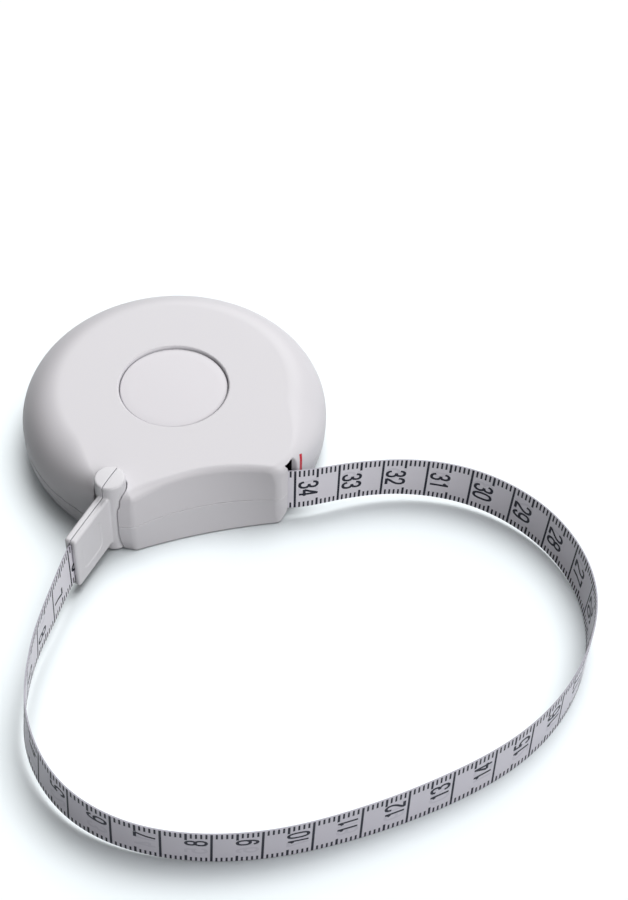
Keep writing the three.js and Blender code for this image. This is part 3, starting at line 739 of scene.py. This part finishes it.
def stroke_quads(kind, pts):
    """Quads of a stroke with mitred joints, in mm on the glyph's own axes."""
    p = np.array([((STROKE / 2) + x * (DIGIT_W - STROKE), (STROKE / 2) + y * (DIGIT_H - STROKE)) for x, y in pts])
    n = len(p)
    closed = kind == "ring"
    seg = (np.roll(p, -1, 0) - p) if closed else np.diff(p, axis=0)
    seg = seg / np.linalg.norm(seg, axis=1)[:, None]
    nrm = np.stack([-seg[:, 1], seg[:, 0]], 1)
    if closed:
        a, b = np.roll(nrm, 1, 0), nrm
    else:
        a = np.concatenate([nrm[:1], nrm])
        b = np.concatenate([nrm, nrm[-1:]])
    m = a + b
    m /= np.maximum((m * (a + b)).sum(1) / 2, 1e-6)[:, None]
    l, r = p + m * STROKE / 2, p - m * STROKE / 2
    return [np.array([l[i], r[i], r[(i + 1) % n], l[(i + 1) % n]]) for i in range(n if closed else n - 1)]


def number_quads(value, line_s, outer):
    """The numeral's strokes in (reading, height) for one face."""
    text = str(value)
    places = {1: [0.33], 2: [0.54, 0.33]}[len(text)] if outer else {1: [0.615], 2: [0.40, 0.615]}[len(text)]
    out = []
    for ch, place in zip(text, places):
        hc = TAPE_W * (1 - place)
        for kind, p in GLYPHS[ch]:
            for q in stroke_quads(kind, p):
                x, y = q[:, 0] - DIGIT_W / 2, q[:, 1]
                h = hc + x if outer else hc - x
                out.append(np.stack([line_s - 0.68 - y, h], 1))
    return out


def marks(c, s0, s1):
    """Tick rectangles of one centimetre cell, within s0 to s1."""
    out = []

    def rect(a, b, h0, h1):
        a, b = max(a, s0), min(b, s1)
        if b - a > 1e-6:
            out.append(np.array([(a, h0), (b, h0), (b, h1), (a, h1)]))

    for k in range(-5, 5):
        if k == 0:
            rect(c - 0.26, c + 0.26, 0, TAPE_W)
            continue
        w = 0.26 if k == -5 else 0.21
        rect(c + k - w, c + k + w, TAPE_W - (2.9 if k == -5 else 2.05), TAPE_W)
        rect(c + k - w, c + k + w, 0, 2.5 if k == -5 else 1.8)
    return out


class Ribbon:
    def __init__(self):
        self.keys, self.faces, self.mats, self.kinds = {}, [], [], []
        self.list = []

    def vert(self, s, h, side):
        k = (round(s, 4), round(h, 4), side)
        if k not in self.keys:
            self.keys[k] = len(self.list)
            self.list.append(k)
        return self.keys[k]

    def face(self, corners, mat, kind):
        ids = [self.vert(*c) for c in corners]
        if len(set(ids)) < 3:
            return
        self.faces.append(tuple(ids))
        self.mats.append(mat)
        self.kinds.append(kind)

    def sheet(self, s0, s1, side, ink, ghost):
        """One face of the tape between two readings, cut along its print."""
        verts, faces, edges = [], [], []

        def poly(p):
            n = len(verts)
            verts.extend(Vector((float(a), float(b))) for a, b in p)
            faces.append(list(range(n, n + len(p))))

        cuts = [s0] + [c for c in np.arange(math.floor(s0) + 0.5, s1, 1.0) if s0 + 1e-6 < c < s1 - 1e-6] + [s1]
        rect = [(c, 0.0) for c in cuts] + [(c, TAPE_W) for c in cuts[::-1]]
        poly(rect)
        m = len(cuts)
        for i in range(1, m - 1):
            edges.append((i, 2 * m - 1 - i))
        n_ink = 1 + len(ink)
        for p in ink + ghost:
            area = 0.5 * np.sum(p[:, 0] * np.roll(p[:, 1], -1) - np.roll(p[:, 0], -1) * p[:, 1])
            poly(p if area > 0 else p[::-1])
        V, _, F, _, _, of = delaunay_2d_cdt(verts, edges, faces, 1, 1e-5)
        for tri, src in zip(F, of):
            mat = 0
            if any(0 < i < n_ink for i in src):
                mat = 1
            elif any(i >= n_ink for i in src):
                mat = 2
            a = [(V[i].x, V[i].y) for i in tri]
            area = (a[1][0] - a[0][0]) * (a[2][1] - a[0][1]) - (a[2][0] - a[0][0]) * (a[1][1] - a[0][1])
            if abs(area) < 1e-9:
                continue
            # inner faces take the lighter copies of the blank and show-through colours: painted bounce light
            if side < 0 and mat != 1:
                mat = 3 if mat == 0 else 4
            if (area > 0) != (side > 0):
                tri = tri[::-1]
            self.face([(V[i].x, V[i].y, side) for i in tri], mat, "face")

    def plain(self, readings):
        for a, b in zip(readings, readings[1:]):
            self.face([(a, 0, 1), (b, 0, 1), (b, TAPE_W, 1), (a, TAPE_W, 1)], 0, "face")
            # the inner face takes the lighter copy of the blank colour: painted bounce light
            self.face([(a, 0, -1), (a, TAPE_W, -1), (b, TAPE_W, -1), (b, 0, -1)], 3, "face")

    def close(self, s0, s1):
        for h, up in ((0.0, False), (TAPE_W, True)):
            out = sorted(k[0] for k in self.list if k[1] == h and k[2] == 1)
            inn = sorted(k[0] for k in self.list if k[1] == h and k[2] == -1)
            both = sorted(set(out) & set(inn))
            for a, b in zip(both, both[1:]):
                q = [(a, h, -1), (b, h, -1), (b, h, 1), (a, h, 1)]
                self.face(q[::-1] if up else q, 5, "up" if up else "low")
            if out != inn:
                print("edge points differ", len(out), len(inn), len(both))
        self.face([(s0, 0, -1), (s0, 0, 1), (s0, TAPE_W, 1), (s0, TAPE_W, -1)], 0, "start")
        self.face([(s1, 0, 1), (s1, 0, -1), (s1, TAPE_W, -1), (s1, TAPE_W, 1)], 0, "end")

    def build(self, name):
        k = np.array(self.list)
        P = route.point(k[:, 0], k[:, 1], k[:, 2])
        Nn = route.at(k[:, 0], route.N)
        U = route.at(k[:, 0], route.U) / TAPE_W
        T = np.cross(U, Nn)
        loops = []
        for f, kind in zip(self.faces, self.kinds):
            for i in f:
                if kind == "face":
                    loops.append(Nn[i] * k[i, 2])
                elif kind in ("up", "low"):
                    loops.append(U[i] * (1 if kind == "up" else -1))
                else:
                    loops.append(T[i] * (1 if kind == "end" else -1))
        return make_mesh(name, P, self.faces, [TAPE_BLANK, TAPE_INK, TAPE_GHOST, TAPE_INSIDE_LIT, TAPE_GHOST_IN_LIT, TAPE_EDGE], self.mats, loop_normals=loops)


def printed(rib, s0, s1):
    """Print every centimetre cell between two readings."""
    c = math.ceil((s0 - 4.5) / 10) * 10
    while c - 5.5 < s1:
        a, b = max(s0, c - 5.5), min(s1, c + 4.5)
        if b - a > 1e-6:
            ticks = marks(c, a, b)
            room = c - 5.35 > a - 1e-6 and c - 0.6 < b + 1e-6
            inner = number_quads(c // 10, c, False) if room else []
            outer = number_quads(c // 10 - 7, c, True) if room and c > 70 else []
            rib.sheet(a, b, -1, ticks + inner, outer)
            rib.sheet(a, b, 1, ticks + outer, inner)
        c += 10


end = Ribbon()
end.plain([S_START + (54.5 - S_START) * i / 60 for i in range(61)])
printed(end, 54.5, S_SPLIT)
end.close(S_START, S_SPLIT)
tape_end = end.build("tape_end_printed")
loop = Ribbon()
printed(loop, S_SPLIT, S_MOUTH)
loop.close(S_SPLIT, S_MOUTH)
tape_loop = loop.build("tape_loop_printed")
lead = Ribbon()
printed(lead, S_LEAD, S_COIL)
lead.close(S_LEAD, S_COIL)
tape_lead = lead.build("tape_lead_printed")

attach(tape_lead, "case")
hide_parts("tape_lead")


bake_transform(tape_end)
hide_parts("tape_end")
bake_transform(tape_loop)
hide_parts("tape_loop")

# ---------------------------------------------------------------- red index line beside the exit
mv, mf = [], []
na, nh = 4, 22
along = np.array([0.10, 0.995])
wide = np.array([0.995, -0.10])
base = np.array([22.98, -26.5])
for i in range(nh + 1):
    t = math.radians(3.0 + 32.0 * i / nh)
    for j in range(na + 1):
        c = base + along * 9.0 + wide * ((j / na - 0.5) * 0.64)
        ray = np.array([-along[0] * math.cos(t), -along[1] * math.cos(t), math.sin(t)])
        c = np.array([c[0], c[1], 11.0])
        near, far = 0.0, 16.0
        for _ in range(40):
            m = (near + far) / 2
            p = c + ray * m
            if envelope(p[:1], p[1:2], p[2:])[0] < 0:
                near = m
            else:
                far = m
        q = (c + ray * near)[None, :]
        g = gradient(envelope, q)[0]
        mv.append(q[0] + g / np.linalg.norm(g) * 0.016)
for i in range(nh):
    for j in range(na):
        a = i * (na + 1) + j
        mf.append((a, a + 1, a + na + 2, a + na + 1))
mark = make_mesh("index_line", mv, mf, [MARK_RED])
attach(mark, "case")

# ---------------------------------------------------------------- return spring, a fixed coil under the button riding the case
sv, sf = [], []
ns, nw = 4 * 36, 10
for i in range(ns + 1):
    u = i / ns
    a = 2 * math.pi * 4 * u
    z = 11.35 + 4.4 * u
    for k in range(nw):
        w = 2 * math.pi * k / nw
        r = 4.1 + 0.27 * math.cos(w)
        sv.append((r * math.cos(a), r * math.sin(a), z + 0.27 * math.sin(w)))
for i in range(ns):
    for k in range(nw):
        a, b = i * nw + k, i * nw + (k + 1) % nw
        sf.append((a, a + nw, b + nw, b))
sf.append(tuple(range(nw)))
sf.append(tuple(ns * nw + k for k in range(nw))[::-1])
return_spring = make_mesh("return_spring", sv, sf, [SPRING])
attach(return_spring, "case")
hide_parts("button_return_spring")
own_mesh(return_spring)

# ---------------------------------------------------------------- inner pieces keep the CAD shapes
INSIDE = {
    "centre_post": STEEL, "anchor_pin": STEEL, "power_spring": SPRING,
    "reel_drum": INNER, "reel_upper_flange": INNER, "brake_ring": INNER, "spring_cover": INNER, "tape_coil": TAPE_BLANK,
    "brake_pad_rear": RUBBER, "brake_pad_left": RUBBER, "brake_pad_right": RUBBER,
}
for name, m in INSIDE.items():
    o = frame["nodes"][name]
    o.data.materials.clear()
    o.data.materials.append(m)

# ---------------------------------------------------------------- floor and light
fm, ft, fb = principled("floor_white", (0.905, 0.962, 0.985), 0.9, spec=0.0)
me = bpy.data.meshes.new("floor")
me.from_pydata([(-6, -6, -0.00005), (6, -6, -0.00005), (6, 6, -0.00005), (-6, 6, -0.00005)], [], [(0, 1, 2, 3)])
me.materials.append(fm)
floor = bpy.data.objects.new("floor", me)
coll.objects.link(floor)
floor.visible_diffuse = False

world = bpy.data.worlds.new("studio")
scene.world = world
world.use_nodes = True
bg = world.node_tree.nodes["Background"]
bg.inputs["Color"].default_value = (1.0, 0.985, 0.99, 1)
bg.inputs["Strength"].default_value = 0.08

on_object = bpy.data.collections.new("lit_object")
on_floor = bpy.data.collections.new("lit_floor")
on_floor.objects.link(floor)
on_tape = bpy.data.collections.new("lit_tape")
for o in (tape_end, tape_loop, tape_lead):
    on_tape.objects.link(o)
for o in scene.objects:
    if o.type == "MESH" and o != floor and not o.hide_render:
        on_object.objects.link(o)


def sun(name, az, el, strength, angle, color, receivers):
    """A broad, even source; az is the compass side it comes from, 0 at -Y and 90 at +X."""
    l = bpy.data.lights.new(name, "SUN")
    l.energy = strength * math.pi
    l.angle = math.radians(angle)
    l.color = color
    o = bpy.data.objects.new(name, l)
    a, e = math.radians(az), math.radians(el)
    d = Vector((math.sin(a) * math.cos(e), -math.cos(a) * math.cos(e), math.sin(e)))
    o.rotation_mode = "QUATERNION"
    o.rotation_quaternion = d.to_track_quat("Z", "Y")
    coll.objects.link(o)
    o.light_linking.receiver_collection = receivers
    return o


WARM = (1.0, 0.99, 0.992)
sun("key", 45, 38, 0.66, 40, WARM, on_object)
sun("rear", 158, 38, 0.73, 45, WARM, on_object)
sun("low_front", 0, 12, 0.15, 45, WARM, on_object)
sun("fill", 0, 90, 0.09, 165, WARM, on_object)
sun("tape_fill", 310, 20, 0.11, 60, WARM, on_tape)
sun("over_floor", 0, 90, 0.14, 40, (1.0, 1.0, 1.0), on_floor)
sun("floor_right", 108, 74, 0.47, 40, (1.0, 1.0, 1.0), on_floor)
sun("floor_back", 140, 62, 0.41, 40, (1.0, 1.0, 1.0), on_floor)
sun("floor_front", 60, 57, 0.06, 40, (1.0, 1.0, 1.0), on_floor)
sun("floor_low", 180, 25, 0.12, 40, (1.0, 1.0, 1.0), on_floor)

cam_data = bpy.data.cameras.new("camera")
cam_data.lens = 73.87
cam_data.sensor_width = 36
cam_data.clip_start, cam_data.clip_end = 0.01, 50
cam = bpy.data.objects.new("camera", cam_data)
right, up, fwd = Vector((0.96485, -0.26208, 0.01932)), Vector((0.18418, 0.72682, 0.66167)), Vector((0.18745, 0.63486, -0.74954))
R = Matrix((right, up, -fwd)).transposed().to_4x4()
R.translation = Vector((-0.050741, -0.286270, 0.324731))
cam.matrix_world = R
coll.objects.link(cam)
scene.camera = cam
scene.view_settings.view_transform = "Standard"
scene.view_settings.look = "None"
